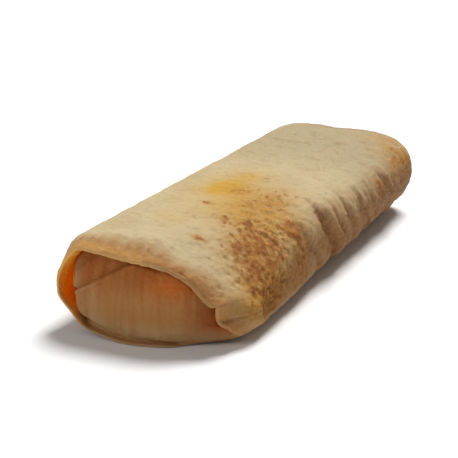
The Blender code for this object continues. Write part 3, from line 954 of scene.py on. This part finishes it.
@dataclass(frozen=True)
class Relief:
    """Fine creases, blisters and folds that stand on the bread's skin."""

    roll: Roll
    swell: float = 0.00042
    swell_grain: Grain = Grain((100.0, 100.0, 1.0), 3)
    strip_at: float = -0.034
    strip: Fade = Fade(0.0, 0.012, 0.25)
    mottle: float = 0.00052
    mottle_grain: Grain = Grain((330.0, 380.0, 1.0), 3)
    lengthwise: Area = Area(0.00050, *PLAIN, across=Fade(0.012, -0.020), z=Fade(0.010, 0.010))
    lengthwise_grain: Grain = Grain((210.0, 40.0, 1.0), 2)
    transverse: Area = Area(0.00180, *PLAIN, along=Fade(0.100, 0.050, 0.15), across=Fade(-0.034, 0.022))
    transverse_end: Fade = Fade(0.206, -0.010, 0.2)
    transverse_grain: Grain = Grain((60.0, 280.0, 1.0), 3)
    blister: float = 0.00046
    blister_inward: Fade = Fade(0.004, 0.012, 0.35)
    crater_depth: float = 0.9
    crater_grain: Grain = Grain((230.0, 280.0, 1.0), 3)
    freckle_lift: float = 0.00022
    pit: float = 0.00035
    pit_area: Area = Area(1.0, across=Fade(0.010, 0.008), along=Bell(0.018, 0.012))
    pit_grain: Grain = Grain((260.0, 260.0, 1.0), 2)
    pit_shift: float = 7.0
    pit_level: Fade = Fade(0.42, 0.2)
    dash_depth: float = 1.6
    streak: float = 0.00028
    lip_area: Area = Area(1.0, Zone.LIP, Zone.CURL, z=Fade(0.012, 0.012))
    lip_grain: Grain = Grain((380.0, 50.0, 1.0), 2)
    flap_grain: Grain = Grain((300.0, 1.0, 60.0), 2)
    far_flap_grain: Grain = Grain((160.0, 1.0, 160.0), 3)
    calm: float = 0.85
    calm_areas: tuple[Area, ...] = (
        Area(1.0, inward=Fade(0.024, -0.014), x=Fade(0.018, 0.008), z=Fade(0.024, -0.006)),
        Area(0.8, inward=Fade(0.012, -0.008), x=Fade(0.014, -0.010)),
        Area(0.85, along=Fade(0.186, 0.012)),
    )
    folds: tuple[tuple[float, float], ...] = (
        (0.1088, 0.00110),
        (0.1150, 0.00050),
        (0.1196, 0.00080),
        (0.1256, 0.00045),
        (0.1312, 0.00085),
        (0.1385, 0.00055),
        (0.1440, 0.00045),
        (0.1482, 0.00080),
        (0.1548, 0.00050),
        (0.1592, 0.00070),
        (0.1660, 0.00050),
        (0.1730, 0.00045),
        (0.1815, 0.00080),
        (0.1905, 0.00050),
    )
    fold_area: Area = Area(
        1.0, *PLAIN, side=Fade(0.50, 0.3), rise=Fade(-0.95, 0.4), along=Fade(0.198, -0.012, 0.2)
    )
    fold_rise: float = 0.0011
    fold_fall: float = 0.0030
    fold_sway: float = 0.0016
    fold_sway_grain: Grain = Grain((55.0, 55.0, 1.0), 2)
    # From here to the crease top, these fields place the painted shade of the creases mask.
    line_width: float = 0.0010
    line_area: Area = Area(0.8, rise=Fade(0.90, -0.35, 0.3))
    pleat_foot: float = 1.25
    pleat_line_width: float = 0.0013
    hollow_ahead: float = 0.0052
    hollow_half_width: float = 0.0042
    hollow_shade_strength: float = 0.95
    crease_shade_strength: float = 0.7
    crease_area: Area = Area(1.0, *PLAIN, side=Fade(0.82, 0.13), rise=Fade(-0.95, 0.4))
    crease_top: Fade = Fade(0.96, -0.16, 0.2)
    floor: Fade = Fade(0.0015, 0.004)

    def swayed(self, skin: Skin) -> np.ndarray:
        """Distance along, straightened so that the leaning folds run square, with a slight sway."""
        sway = self.fold_sway_grain.at(skin.flat) * self.fold_sway
        return skin.along + self.roll.pleats.leaning(skin.side, skin.rise) + sway

    def creases(self, skin: Skin) -> np.ndarray:
        """Mask of painted shade: the dark lines at the foot of each fold and in the hollow before the first
        pleat.
        """
        straightened, pleats = self.swayed(skin), self.roll.pleats
        lines = np.zeros_like(straightened)
        for place, height in self.folds:
            lines += height / self.folds[0][1] * bump(straightened - place + self.fold_rise, self.line_width)
        for place, height, half_width in pleats.ridges:
            foot = straightened - place + self.pleat_foot * half_width
            lines += height / pleats.ridges[0][1] * bump(foot, self.pleat_line_width)
        hollow = bump(straightened - pleats.ridges[0][0] + self.hollow_ahead, self.hollow_half_width)
        lines = lines * self.line_area.on(skin) + self.hollow_shade_strength * hollow
        lines = np.clip(lines + self.crease_shade_strength * pleats.crease.at(straightened), 0.0, 1.0)
        return lines * self.crease_area.on(skin) * self.crease_top.at(skin.rise)

    def overlaps(self, skin: Skin) -> np.ndarray:
        """Overlapping folds of the flank, each steep on its near side and sinking gently behind."""
        straightened = self.swayed(skin)
        relief = np.zeros_like(straightened)
        for place, height in self.folds:
            past = straightened - place
            risen = ease(past / self.fold_rise + 1.0)
            relief += height * risen * np.exp(-np.maximum(past, 0.0) / self.fold_fall)
        return relief * self.fold_area.on(skin)

    def wrinkles(self, skin: Skin) -> np.ndarray:
        """Shallow lines, lengthwise on the left and square to the roll farther back."""
        straight = skin.flat
        straight[:, :, 1] += self.roll.pleats.leaning(skin.side, skin.rise)
        lengthwise = np.abs(self.lengthwise_grain.at(skin.flat)) * self.lengthwise.on(skin)
        transverse = np.abs(self.transverse_grain.at(straight)) * self.transverse.on(skin)
        return -lengthwise - transverse * self.transverse_end.at(skin.along)

    def blisters(self, skin: Skin, marks: dict[str, np.ndarray], mottle: np.ndarray) -> np.ndarray:
        """Raised and cratered bread where it is toasted, calmer at the lip."""
        craters = mottle - self.crater_depth * np.abs(self.crater_grain.at(skin.flat))
        toasted = np.clip(marks["warm"] + marks["freckle"], 0.0, 1.0)
        blister = craters * self.blister * toasted + self.freckle_lift * marks["freckle"]
        return blister * self.blister_inward.at(skin.inward)

    def pits(self, skin: Skin, marks: dict[str, np.ndarray]) -> np.ndarray:
        """Small hollows near the lip, and a hollow at each charred spot and each dash."""
        hollows = self.pit_level.at(self.pit_grain.at(skin.flat + self.pit_shift)) * self.pit_area.on(skin)
        return -self.pit * (hollows + marks["char"] + self.dash_depth * marks["dash"])

    def calmed(self, skin: Skin) -> np.ndarray:
        """How much small relief is left at the lip's lower right corner, its brow and the far edge."""
        return 1.0 - self.calm * np.maximum.reduce([area.on(skin) for area in self.calm_areas])

    def end_grain(self, skin: Skin) -> np.ndarray:
        """Fibres along the lip and up the flap, and gentle swells of the far flap."""
        lip = self.lip_grain.at(skin.flat) * self.lip_area.on(skin)
        flap = self.flap_grain.at(skin.face) * skin.rows(Zone.FLAP)
        far_flap = self.far_flap_grain.at(skin.face) * skin.rows(Zone.FAR_FLAP)
        return self.streak * (lip + flap) + self.swell * far_flap

    def heights(self, skin: Skin, marks: dict[str, np.ndarray]) -> np.ndarray:
        """How far each point of the skin stands out from the plain loft.

        Args:
            skin: The bread's surface.
            marks: The masks of its toasting.

        Returns:
            One height in metres for each point.
        """
        steady = self.strip.at(np.abs(skin.across - self.strip_at))
        mottle = self.mottle_grain.at(skin.flat)
        small = mottle * self.mottle * steady + self.blisters(skin, marks, mottle) + self.pits(skin, marks)
        swell = self.swell_grain.at(skin.flat) * self.swell * steady
        relief = (swell + small * self.calmed(skin)) * skin.rows(*OUTSIDE)
        relief = relief + self.wrinkles(skin) + self.overlaps(skin) + self.end_grain(skin)
        return relief * self.floor.at(skin.z)


class NodeSheet:
    """Adds nodes to a material or a node group and links them."""

    def __init__(self, tree: bpy.types.NodeTree) -> None:
        """Keeps the tree that the nodes go in."""
        self.tree = tree

    def add(self, kind: str, **settings: object) -> bpy.types.Node:
        """New node of a kind, with its settings."""
        node = self.tree.nodes.new(kind)
        for name, value in settings.items():
            setattr(node, name, value)
        return node

    def feed(self, socket: bpy.types.NodeSocket, value: object) -> None:
        """Links another socket into this one, or sets it to a plain value."""
        if isinstance(value, bpy.types.NodeSocket):
            self.tree.links.new(value, socket)
        else:
            socket.default_value = value

    def mix(self, amount: object, low: object, high: object, blend: str = "MIX") -> bpy.types.NodeSocket:
        """Colour between low and high by the amount."""
        node = self.add("ShaderNodeMix", data_type="RGBA", blend_type=blend)
        for name, value in (("Factor", amount), ("A", low), ("B", high)):
            self.feed(node.inputs[name], value)
        return node.outputs["Result"]

    def maths(self, operation: str, first: object, second: object) -> bpy.types.NodeSocket:
        """Result of one sum, held between 0 and 1."""
        node = self.add("ShaderNodeMath", operation=operation, use_clamp=True)
        self.feed(node.inputs[0], first)
        self.feed(node.inputs[1], second)
        return node.outputs[0]

    def times(self, first: object, second: object) -> bpy.types.NodeSocket:
        """Product of two values."""
        return self.maths("MULTIPLY", first, second)

    def softened(self, value: object, contrast: float) -> bpy.types.NodeSocket:
        """Value raised towards 1, so that only a part of its contrast stays."""
        return self.maths("ADD", self.times(value, contrast), 1.0 - contrast)

    def ramp(self, value: object, low: object, high: object) -> bpy.types.NodeSocket:
        """Smooth rise from 0 to 1 while the value goes from low to high."""
        node = self.add("ShaderNodeMapRange", interpolation_type="SMOOTHSTEP")
        for name, given in (("Value", value), ("From Min", low), ("From Max", high)):
            self.feed(node.inputs[name], given)
        return node.outputs["Result"]


def blotch_group() -> bpy.types.NodeTree:
    """Shader group that makes soft blotches: a noise cut between two levels."""
    group = bpy.data.node_groups.new("bread_blotches", "ShaderNodeTree")
    sheet = NodeSheet(group)
    group.interface.new_socket(name="Coordinates", in_out="INPUT", socket_type="NodeSocketVector")
    for name in BLOTCH_INPUTS:
        group.interface.new_socket(name=name, in_out="INPUT", socket_type="NodeSocketFloat")
    group.interface.new_socket(name="Mask", in_out="OUTPUT", socket_type="NodeSocketFloat")
    source, result = sheet.add("NodeGroupInput"), sheet.add("NodeGroupOutput")
    grain = sheet.add("ShaderNodeTexNoise")
    for name, given in (("Vector", "Coordinates"), ("Scale", "Scale"), ("Detail", "Detail")):
        sheet.feed(grain.inputs[name], source.outputs[given])
    mask = sheet.ramp(grain.outputs["Fac"], source.outputs["From"], source.outputs["To"])
    sheet.feed(result.inputs["Mask"], mask)
    return group


class BreadSheet(NodeSheet):
    """The nodes of the bread's material, with its masks and its blotches."""

    def __init__(self, tree: bpy.types.NodeTree) -> None:
        """Adds the coordinates and the group that all blotches share."""
        super().__init__(tree)
        self.place = self.add("ShaderNodeTexCoord").outputs["Object"]
        self.blotches = blotch_group()

    def mark(self, name: str) -> bpy.types.NodeSocket:
        """Value of one of the bread's own masks."""
        return self.add("ShaderNodeAttribute", attribute_name=name).outputs["Fac"]

    def spots(self, spots: Spots) -> bpy.types.NodeSocket:
        """Blotches of one kind on the bread."""
        node = self.add("ShaderNodeGroup", node_tree=self.blotches)
        self.feed(node.inputs["Coordinates"], self.place)
        for name, value in zip(BLOTCH_INPUTS, spots):
            node.inputs[name].default_value = value
        return node.outputs["Mask"]


@dataclass(frozen=True)
class BreadFinish:
    """Colours and grain of the toasted flatbread, with the colours of its painted shade and glow.

    Each kind of spots has the scale and detail of its noise and the two levels that it is cut between.
    """

    cream: Colour = (0.53, 0.42, 0.24)
    deep_cream: Colour = (0.49, 0.375, 0.205)
    # Painted shade: cream darker and greyer towards the far end.
    far_shade_cream: Colour = (0.42, 0.335, 0.20)
    saffron: Colour = (0.54, 0.305, 0.030)
    golden: Colour = (0.46, 0.225, 0.050)
    tan: Colour = (0.48, 0.258, 0.052)
    brown: Colour = (0.365, 0.142, 0.028)
    toast: Colour = (0.255, 0.085, 0.016)
    char: Colour = (0.10, 0.040, 0.015)
    # Browning behind the lip's edge, also used as painted warm shade beside the lip's lower right.
    brow: Colour = (0.355, 0.172, 0.054)
    # Painted glow along the lip's edge.
    rim: Colour = (0.60, 0.32, 0.100)
    # Painted warm shade of the flap, grooves, lip, flanks and far flap.
    inner: Colour = (0.41, 0.185, 0.056)
    # Painted shade in the folds, the hollow before the first pleat and the dashes.
    crease: Colour = (0.30, 0.155, 0.065)
    shade: Colour = (0.66, 0.56, 0.47)
    # Painted shade under the lip and in the grooves.
    deep_shade: Colour = (0.34, 0.100, 0.017)
    stain: Colour = (0.56, 0.135, 0.016)
    # Painted shade in the pocket at the flap's right.
    pocket_shade: Colour = (0.28, 0.066, 0.008)
    # Real sauce, whose mask also paints a glow along the lip's left edge.
    sauce: Colour = (1.0, 0.42, 0.018)
    cream_spots: Spots = (60.0, 3.0, 0.35, 0.70)
    golden_spots: Spots = (170.0, 4.0, 0.25, 0.60)
    tan_spots: Spots = (240.0, 4.0, 0.32, 0.62)
    brown_spots: Spots = (340.0, 4.0, 0.30, 0.62)
    toast_spots: Spots = (620.0, 3.0, 0.36, 0.60)
    saffron_strength: float = 0.9
    tan_contrast: float = 0.30
    brown_strength: float = 0.80
    toast_contrast: float = 0.48
    crease_shade_strength: float = 0.8
    rim_glow_strength: float = 0.85
    roughness: float = 0.62
    gloss: float = 0.12
    grain_scale: float = 520.0
    grain_detail: float = 4.0
    grain_depth: float = 0.00065
    translucency: float = 0.08
    sauce_translucency: float = 0.9
    light_reach: float = 0.005
    reach_by_colour: Colour = (1.0, 0.40, 0.12)

    def colours(self, sheet: BreadSheet) -> bpy.types.NodeSocket:
        """Lays the colours of the bread and of its painted shade and glow over each other, from the plain
        cream up to the sauce.

        Args:
            sheet: The material's nodes.

        Returns:
            The finished colour.
        """
        mark, spots, times, softened = sheet.mark, sheet.spots, sheet.times, sheet.softened
        # Besides the toasting, these layers paint shade towards the far end, in the creases and on the
        # shaded open end and flanks, and a glow on the lip's edge.
        toasted = (
            (spots(self.cream_spots), self.deep_cream),
            (mark("far"), self.far_shade_cream),
            (times(mark("saffron"), self.saffron_strength), self.saffron),
            (times(mark("golden"), spots(self.golden_spots)), self.golden),
            (times(mark("warm"), softened(spots(self.tan_spots), self.tan_contrast)), self.tan),
            (times(times(mark("brown"), spots(self.brown_spots)), self.brown_strength), self.brown),
            (times(mark("freckle"), softened(spots(self.toast_spots), self.toast_contrast)), self.toast),
            (mark("char"), self.char),
            (times(mark("crease"), self.crease_shade_strength), self.crease),
            (mark("brow"), self.brow),
            (times(mark("rim"), self.rim_glow_strength), self.rim),
            (mark("inside"), self.inner),
        )
        # Painted shade under the lip, in the grooves and in the pocket, then the stain, then the sauce,
        # which also paints a glow on the lip's left edge.
        soaked = (("deep_shade", self.deep_shade), ("stain", self.stain), ("pocket_shade", self.pocket_shade), ("sauce", self.sauce))
        colour = (*self.cream, 1.0)
        for amount, tint in toasted:
            colour = sheet.mix(amount, colour, (*tint, 1.0))
        colour = sheet.mix(mark("shade"), colour, (*self.shade, 1.0), "MULTIPLY")
        for name, tint in soaked:
            colour = sheet.mix(mark(name), colour, (*tint, 1.0))
        return colour

    def material(self) -> bpy.types.Material:
        """Builds the bread's material from its masks and from noise."""
        material = bpy.data.materials.new("toasted_flatbread")
        material.use_nodes = True
        sheet = BreadSheet(material.node_tree)
        shader = material.node_tree.nodes["Principled BSDF"]
        grain, relief = sheet.add("ShaderNodeTexNoise"), sheet.add("ShaderNodeBump")
        soaked = sheet.times(sheet.mark("sauce"), self.sauce_translucency)
        fed = (
            (grain.inputs["Vector"], sheet.place),
            (grain.inputs["Scale"], self.grain_scale),
            (grain.inputs["Detail"], self.grain_detail),
            (relief.inputs["Distance"], self.grain_depth),
            (relief.inputs["Height"], grain.outputs["Fac"]),
            (shader.inputs["Normal"], relief.outputs["Normal"]),
            (shader.inputs["Base Color"], self.colours(sheet)),
            (shader.inputs["Roughness"], self.roughness),
            (shader.inputs["Specular IOR Level"], self.gloss),
            (shader.inputs["Subsurface Weight"], sheet.maths("ADD", soaked, self.translucency)),
            (shader.inputs["Subsurface Radius"], self.reach_by_colour),
            (shader.inputs["Subsurface Scale"], self.light_reach),
        )
        for socket, value in fed:
            sheet.feed(socket, value)
        return material


@dataclass(frozen=True)
class Tinting:
    """The sauce inside the mouth, and the painted shade, glow and highlights on the lip, the flaps, the
    grooves and the flanks.
    """

    groove_shading: tuple[float, ...] = (1.0, 0.7, 0.4, 0.1, 0.0, 0.0, 0.0)
    groove_area: Area = Area(1.0, x=Fade(-0.032, 0.006), z=Fade(0.004, 0.006, 0.12))
    sauce: Area = Area(1.0, Zone.GROOVE, x=Fade(-0.026, -0.006), z=Fade(0.004, 0.006))
    # Painted glow: the sauce colour along the left of the lip's edge.
    sauce_glow: Area = Area(0.25, Zone.LIP, x=Fade(-0.026, -0.006))
    stain: Area = Area(0.75, Zone.FLAP, x=Bell(0.010, 0.008), z=Bell(0.0245, 0.005))
    # Painted shade in the pocket at the flap's right.
    pocket_shade: Area = Area(1.0, Zone.FLAP, x=Fade(0.0120, 0.0150), z=Fade(0.001, 0.009))
    pocket_top: Fade = Fade(0.025, -0.010)
    # Painted shade on the flap under the lip, with streaks.
    under_lip: Fade = Fade(0.014, 0.016)
    under_lip_slope: float = 0.12
    under_lip_strength: float = 0.85
    under_lip_grain: Grain = Grain((330.0, 1.0, 45.0), 2)
    under_lip_streaks: float = 0.6
    # Painted highlights along the flap's slanted edge and down the side fold.
    edge: Area = Area(0.45, Zone.FLAP, above=Bell(-0.0006, 0.0006), x=Fade(0.001, -0.006))
    edge_left: Fade = Fade(-0.016, -0.014, 0.10 / 0.45)
    fold_edge: Area = Area(0.45, Zone.FLAP, x=Bell(-0.0325, 0.0024), above=Fade(0.0, 0.001))
    brow_start: float = 0.001
    brow_length: float = 0.010
    brow_longer: float = 0.004
    brow_longer_x: Bell = Bell(-0.010, 0.02)
    brow_x: Fade = Fade(0.018, -0.014, 0.55)
    brow_strength: float = 0.90
    brow_fibre: Grain = Grain((380.0, 45.0, 1.0), 2)
    brow_fibre_strength: float = 0.42
    # Painted warm shade beside the lip's lower right.
    beside_shade: Area = Area(0.72, inward=Fade(0.016, -0.013), x=Fade(0.012, 0.010), z=Fade(0.010, 0.008, 0.45))
    far_brow: Area = Area(0.6, Zone.FAR_EDGE, along=Fade(0.202, 0.008))
    # Where the lip's edge gets painted glow instead of painted warm shade.
    rim_glow_area: Area = Area(1.0, x=Fade(0.014, -0.016), z=Fade(0.006, 0.010))
    rim_glow_reach: float = 0.0045
    tan_reach: float = 0.007
    # Painted warm shade on the lip's shaded part.
    tan: Area = Area(0.8, z=Fade(0.003, 0.004, 0.55 / 0.8))
    flank_right: Fade = Fade(0.030, 0.022)
    flank_left: Fade = Fade(-0.046, -0.016)
    flank_on_curl: float = 0.3
    # Painted warm shade on the flanks.
    flank_tint: float = 0.45
    near_flank_paler: Area = Area(0.7, Zone.BODY, along=Fade(0.075, -0.030))
    flap_foot: Fade = Fade(0.004, 0.008, 0.62)
    # Painted highlight: less warm shade just below the flap's edge at the left.
    flap_paler: Area = Area(0.24, x=Fade(-0.014, -0.014), above=Fade(0.0, -0.002))
    # Painted warm shade in the grooves and on the far flap.
    groove_tint: Area = Area(1.0, Zone.GROOVE, z=Fade(0.004, 0.006, 0.85))
    far_flap_tint: Area = Area(0.7, Zone.FAR_FLAP)

    @staticmethod
    def lip_rows(skin: Skin, reach: float) -> np.ndarray:
        """Mask of the lip, which fades out over a reach behind its edge."""
        return skin.rows(Zone.LIP) + skin.rows(Zone.CURL) * Fade(reach, -reach).at(skin.inward)

    def edge_highlights(self, skin: Skin) -> np.ndarray:
        """Mask of painted highlights: the pale lines along the flap's slanted edge and down the side fold.
        """
        return np.maximum(self.edge.on(skin) * self.edge_left.at(skin.x), self.fold_edge.on(skin))

    def deep_shade(self, skin: Skin) -> np.ndarray:
        """Mask of the darkest painted shade: the flap under the lip, and the depth of both grooves."""
        under_lip = self.under_lip.at(skin.z - self.under_lip_slope * skin.x) * self.under_lip_strength
        streaks = self.under_lip_streaks * self.under_lip_grain.at(skin.face)
        flap = np.clip(under_lip + streaks, 0.0, 1.0) * skin.rows(Zone.FLAP)
        sunk, far_groove = np.zeros((2, len(skin.zones), 1))
        sunk[skin.zones.index(Zone.GROOVE):skin.zones.index(Zone.LIP), 0] = self.groove_shading
        far_edge = skin.zones.index(Zone.FAR_EDGE)
        far_groove[far_edge:] = skin.rows(Zone.GROOVE)[far_edge:]
        return flap * (1.0 - self.edge_highlights(skin)) + sunk * self.groove_area.on(skin) + far_groove

    def brow(self, skin: Skin) -> np.ndarray:
        """Mask of the browned band behind the lip's edge, with painted warm shade beside its lower right,
        and a fainter band at the far edge.
        """
        length = self.brow_length + self.brow_longer * self.brow_longer_x.at(skin.x)
        brow = (1.0 - ease((skin.inward - self.brow_start) / length)) * self.brow_x.at(skin.x)
        fibre = self.brow_fibre_strength * self.brow_fibre.at(skin.flat)
        brow = np.clip(brow * (self.brow_strength + fibre), 0.0, 1.0)
        brow = np.maximum(brow, self.beside_shade.on(skin)) * skin.rows(Zone.CURL, Zone.BODY)
        return brow + self.far_brow.on(skin)

    def flank(self, skin: Skin) -> np.ndarray:
        """Mask of the sides, where the skin turns down from the top."""
        turned = self.flank_right.at(skin.across) + self.flank_left.at(skin.across)
        return turned * (skin.rows(*PLAIN) + self.flank_on_curl * skin.rows(Zone.CURL))

    def inside(self, skin: Skin) -> np.ndarray:
        """Mask of painted warm shade: flap, grooves, the lip's shaded part, flanks and far flap."""
        flap = skin.rows(Zone.FLAP) * (1.0 - self.flap_paler.on(skin)) - self.edge_highlights(skin)
        lip = self.tan.on(skin) * (1.0 - self.rim_glow_area.on(skin)) * self.lip_rows(skin, self.tan_reach)
        flank = self.flank_tint * self.flank(skin) * (1.0 - self.near_flank_paler.on(skin))
        ends = self.groove_tint.on(skin) + self.far_flap_tint.on(skin)
        return flap * self.flap_foot.at(skin.z) + lip + flank + ends

    def marks(self, skin: Skin) -> dict[str, np.ndarray]:
        """Masks of the sauce and of the painted shade, glow and highlights over the whole skin.

        Args:
            skin: The bread's surface.

        Returns:
            The masks by name, each from 0 to 1 at every point.
        """
        masks = {
            "sauce": self.sauce.on(skin) + self.sauce_glow.on(skin),
            "stain": self.stain.on(skin),
            "pocket_shade": self.pocket_shade.on(skin) * self.pocket_top.at(skin.z),
            "brow": self.brow(skin),
            "rim": self.lip_rows(skin, self.rim_glow_reach) * self.rim_glow_area.on(skin),
            "deep_shade": self.deep_shade(skin),
            "inside": self.inside(skin),
            "shade": self.flank(skin),
        }
        return {name: np.clip(mask, 0.0, 1.0) for name, mask in masks.items()}


@dataclass
class Flatbread:
    """The whole flatbread, rolled and tucked."""

    roll: Roll = field(default_factory=Roll)
    toasting: Toasting = field(default_factory=Toasting)
    tinting: Tinting = field(default_factory=Tinting)
    finish: BreadFinish = field(default_factory=BreadFinish)
    dash_shade: float = 0.8
    weld_within: float = 1e-6

    def build(self) -> bpy.types.Object:
        """Lofts the skin, raises its relief and makes it one closed piece.

        Returns:
            The finished piece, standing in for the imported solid.
        """
        skin = Skin.lofted(self.roll)
        relief = Relief(self.roll)
        marks = self.toasting.marks(skin) | self.tinting.marks(skin)
        lowest, highest = skin.points.min(axis=(0, 1)), skin.points.max(axis=(0, 1))
        middle = (lowest + highest) * 0.5 * np.array([1.0, 1.0, 0.0])
        places = skin.points + skin.normals() * relief.heights(skin, marks)[..., None]
        places[:, :, 2] = np.maximum(places[:, :, 2], 0.0)
        # The crease mark is painted shade in the folds, in the hollow before the first pleat and in the
        # dashes.
        marks["crease"] = np.maximum(relief.creases(skin), self.dash_shade * marks.pop("dash"))
        mesh = self.closed_mesh(places - middle, marks)
        mesh.materials.append(self.finish.material())
        mesh.shade_smooth()
        piece = bpy.data.objects.new("durum_bread", mesh)
        bpy.context.scene.collection.objects.link(piece)
        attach(piece, BODY)
        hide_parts(BREAD_NODE)
        return piece

    def closed_mesh(self, places: np.ndarray, marks: dict[str, np.ndarray]) -> bpy.types.Mesh:
        """Wraps a grid round the rings and welds its seam and its two poles.

        Args:
            places: The finished points, ring by ring.
            marks: The masks to keep on the mesh, by name.

        Returns:
            The closed mesh with its masks.
        """
        rows, columns = places.shape[:2]
        bread = bmesh.new()
        bmesh.ops.create_grid(bread, x_segments=columns, y_segments=rows - 1, size=0.5)
        layers = {name: bread.verts.layers.float.new(name) for name in marks}
        welded = []
        for vert in bread.verts:
            column = round((vert.co.x + 0.5) * columns)
            row = round((vert.co.y + 0.5) * (rows - 1))
            vert.co = places[row, column % columns]
            for name, layer in layers.items():
                vert[layer] = float(marks[name][row, column % columns])
            if column in (0, columns) or row in (0, rows - 1):
                welded.append(vert)
        bmesh.ops.remove_doubles(bread, verts=welded, dist=self.weld_within)
        bmesh.ops.recalc_face_normals(bread, faces=bread.faces)
        mesh = bpy.data.meshes.new("durum_bread")
        bread.to_mesh(mesh)
        bread.free()
        return mesh


@dataclass
class Studio:
    """Pale floor, soft light and the camera at the photographed angle."""

    azimuth: float = 26.6
    elevation: float = 19.2
    distance: float = 0.532
    target: Place = (-0.00763, -0.01585, 0.0189)
    sensor: float = 36.0
    lens: float = 94.32
    clip_start: float = 0.01
    clip_end: float = 50.0
    floor_half: float = 4.0
    floor_colour: Colour = (0.92, 0.92, 0.92)
    floor_roughness: float = 0.9
    floor_gloss: float = 0.1
    key_place: Place = (0.20, 1.28, 2.80)
    key_size: float = 1.35
    key_power: float = 106.0
    fill_place: Place = (-1.7, -1.9, 1.3)
    fill_size: float = 1.2
    fill_power: float = 19.0
    room_colour: Colour = (1.0, 1.0, 1.0)
    ambient: float = 0.20

    def camera(self) -> None:
        """Sets the camera on the object."""
        azimuth, elevation = math.radians(self.azimuth), math.radians(self.elevation)
        level = math.cos(elevation)
        back = Vector((math.sin(azimuth) * level, -math.cos(azimuth) * level, math.sin(elevation)))
        lens = bpy.data.cameras.new("camera")
        lens.sensor_width = self.sensor
        lens.lens = self.lens
        lens.clip_start, lens.clip_end = self.clip_start, self.clip_end
        camera = bpy.data.objects.new("camera", lens)
        camera.location = Vector(self.target) + back * self.distance
        camera.rotation_mode = "QUATERNION"
        camera.rotation_quaternion = (-back).to_track_quat("-Z", "Y")
        bpy.context.scene.collection.objects.link(camera)
        bpy.context.scene.camera = camera

    def floor(self) -> None:
        """Lays a wide pale floor under the wrap."""
        slab = bmesh.new()
        bmesh.ops.create_grid(slab, x_segments=1, y_segments=1, size=self.floor_half)
        mesh = bpy.data.meshes.new("floor")
        slab.to_mesh(mesh)
        slab.free()
        material = bpy.data.materials.new("pale_floor")
        material.use_nodes = True
        shader = material.node_tree.nodes["Principled BSDF"]
        shader.inputs["Base Color"].default_value = (*self.floor_colour, 1.0)
        shader.inputs["Roughness"].default_value = self.floor_roughness
        shader.inputs["Specular IOR Level"].default_value = self.floor_gloss
        mesh.materials.append(material)
        floor = bpy.data.objects.new("floor", mesh)
        bpy.context.scene.collection.objects.link(floor)

    @staticmethod
    def lamp(name: str, place: Place, size: float, power: float) -> None:
        """Hangs one round soft lamp that shines at the middle of the floor."""
        light = bpy.data.lights.new(name, "AREA")
        light.shape = "DISK"
        light.size = size
        light.energy = power
        lamp = bpy.data.objects.new(name, light)
        lamp.location = place
        lamp.rotation_mode = "QUATERNION"
        lamp.rotation_quaternion = (-Vector(place)).to_track_quat("-Z", "Y")
        bpy.context.scene.collection.objects.link(lamp)

    def light(self) -> None:
        """Hangs the key lamp high at the back and a weak one at the front left, in a pale room."""
        self.lamp("key_light", self.key_place, self.key_size, self.key_power)
        self.lamp("fill_light", self.fill_place, self.fill_size, self.fill_power)
        world = bpy.data.worlds.new("pale_room")
        world.use_nodes = True
        background = world.node_tree.nodes["Background"]
        background.inputs["Color"].default_value = (*self.room_colour, 1.0)
        background.inputs["Strength"].default_value = self.ambient
        bpy.context.scene.world = world
        bpy.context.scene.view_settings.view_transform = "Standard"

    def build(self) -> None:
        """Sets up the camera, the floor and the light."""
        self.camera()
        self.floor()
        self.light()


def main() -> None:
    """Builds the studio and the wrap and logs the piece's name and its number of faces."""
    logging.basicConfig(level=logging.INFO)
    Studio().build()
    bread = Flatbread().build()
    LOG.info("built %s with %d faces", bread.name, len(bread.data.polygons))


if __name__ == "__main__":
    main()
